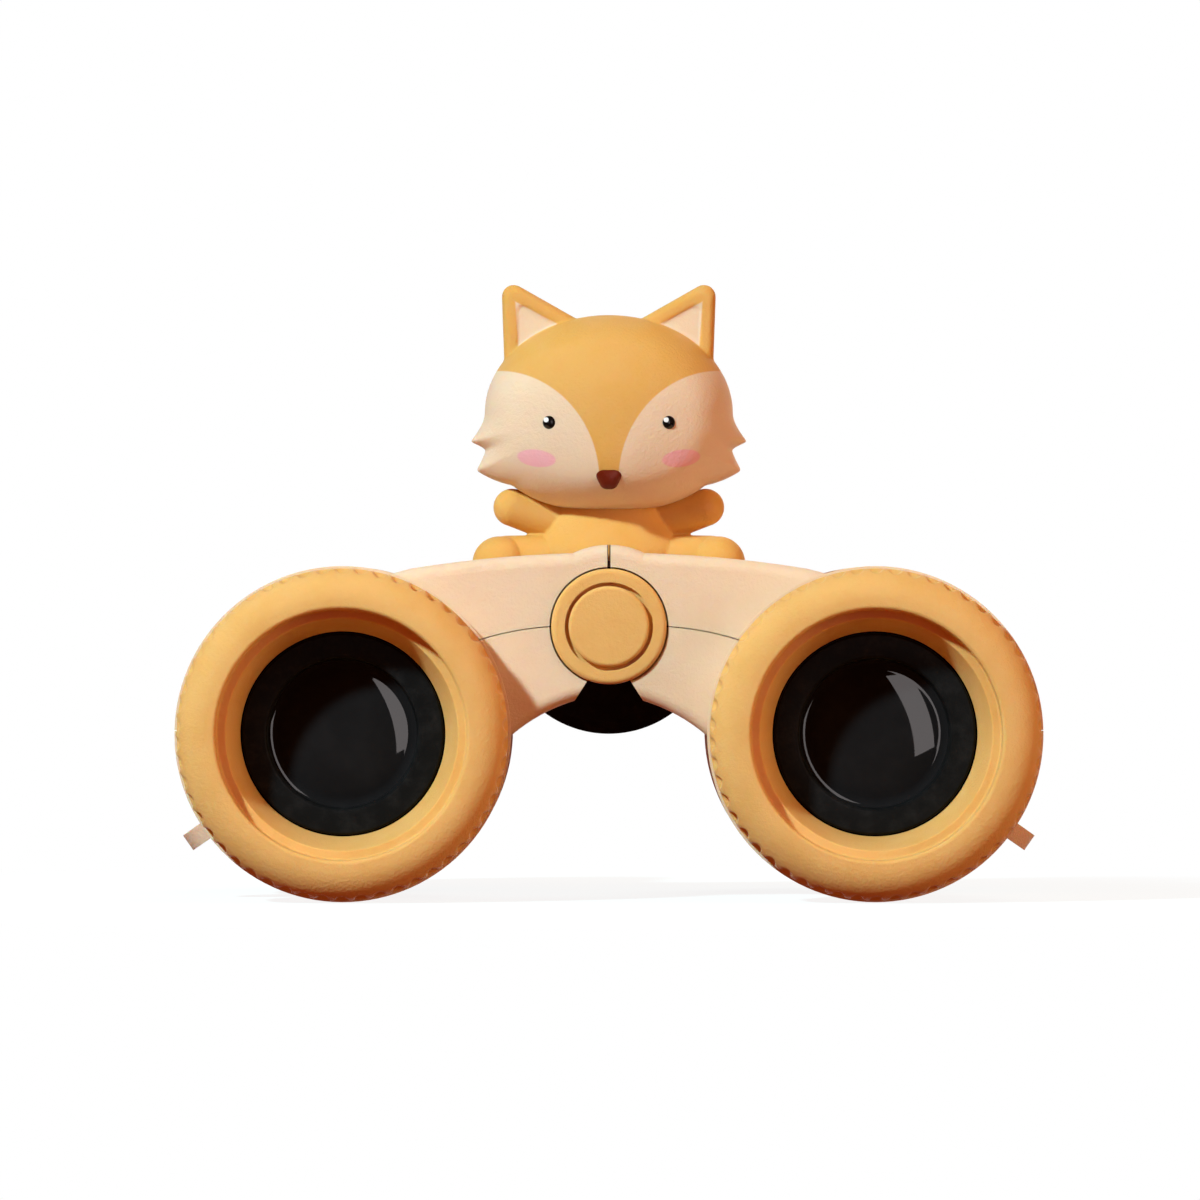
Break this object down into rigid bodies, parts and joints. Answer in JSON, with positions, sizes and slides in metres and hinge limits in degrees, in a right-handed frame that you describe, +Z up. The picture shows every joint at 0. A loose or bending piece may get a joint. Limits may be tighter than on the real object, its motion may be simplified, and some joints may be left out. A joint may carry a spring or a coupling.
{
  "type": "toy binoculars",
  "caption": "Folding toy binoculars with fluted objective rings, a centre hinge, a focus wheel that slides both eyepieces, strap lugs and a seated fox figure on the bridge.",
  "frame": {"origin": "bottom centre of the bounding box with the halves fully open, where the barrels rest on the floor", "axes": "+X to the right as seen from the objective side, +Y from the objective rings to the eyecups, +Z up"},
  "size_m": [0.105, 0.074, 0.0751],
  "materials": {
    "cream_plastic": "fine moulded grain",
    "orange_plastic": "fine moulded grain",
    "black_plastic": "fine moulded grain",
    "black_rubber": "soft matt",
    "lens_glass": "polished and coated",
    "fox_plastic": "painted matt, cream face and ear hollows",
    "eye_plastic": "glossy",
    "nose_plastic": "satin",
    "steel": "plain turned",
    "brass": "turned"
  },
  "bodies": {
    "hinge": {"hinge_axle": "steel", "hinge_screw": "steel", "spring_washer": "steel", "hinge_cap": "orange_plastic", "cap_cover": "orange_plastic", "hinge_spine": "cream_plastic", "thrust_washer": "steel", "fox_body": "fox_plastic", "fox_head": "fox_plastic", "fox_eyes": "eye_plastic", "fox_nose": "nose_plastic"},
    "left_half": {"left_upper_shell": "cream_plastic", "left_lower_shell": "cream_plastic", "left_shell_screws": "steel", "left_objective_ring": "orange_plastic", "left_retaining_ring": "black_plastic", "left_objective_lens": "lens_glass", "left_lens_tube": "black_plastic"},
    "right_half": {"right_upper_shell": "cream_plastic", "right_lower_shell": "cream_plastic", "right_shell_screws": "steel", "right_objective_ring": "orange_plastic", "right_retaining_ring": "black_plastic", "right_objective_lens": "lens_glass", "right_lens_tube": "black_plastic"},
    "wheel": {"focus_wheel": "black_plastic", "focus_nut": "brass"},
    "spindle": {"focus_screw": "steel", "screw_end_cap": "black_plastic"},
    "left_eyepiece": {"left_focus_arm": "black_plastic", "left_eyepiece_tube": "black_plastic", "left_ocular_lens": "lens_glass", "left_ocular_retainer": "black_plastic", "left_eyecup": "black_rubber"},
    "right_eyepiece": {"right_focus_arm": "black_plastic", "right_eyepiece_tube": "black_plastic", "right_ocular_lens": "lens_glass", "right_ocular_retainer": "black_plastic", "right_eyecup": "black_rubber"}
  },
  "joints": [
    {"name": "left_fold", "type": "hinge", "parent": "hinge", "child": "left_half", "pos_m": [0, 0, 0.0333], "axis": [0, -1, 0], "range_deg": [0, 18]},
    {"name": "right_fold", "type": "hinge", "parent": "hinge", "child": "right_half", "pos_m": [0, 0, 0.0333], "axis": [0, 1, 0], "range_deg": [0, 18]},
    {"name": "focus_turn", "type": "hinge", "parent": "hinge", "child": "wheel", "pos_m": [0, 0, 0.0333], "axis": [0, 1, 0], "range_deg": [-120, 180]},
    {"name": "focus_travel", "type": "slide", "parent": "hinge", "child": "spindle", "axis": [0, 1, 0], "range_m": [-0.002, 0.003]},
    {"name": "left_eyepiece_slide", "type": "slide", "parent": "left_half", "child": "left_eyepiece", "axis": [0, 1, 0], "range_m": [-0.002, 0.003]},
    {"name": "right_eyepiece_slide", "type": "slide", "parent": "right_half", "child": "right_eyepiece", "axis": [0, 1, 0], "range_m": [-0.002, 0.003]}
  ],
  "couplings": [
    {"joint": "focus_turn", "follows": "focus_travel", "rad_per_m": 1047.2},
    {"joint": "left_eyepiece_slide", "follows": "focus_travel", "ratio": 1},
    {"joint": "right_eyepiece_slide", "follows": "focus_travel", "ratio": 1}
  ]
}
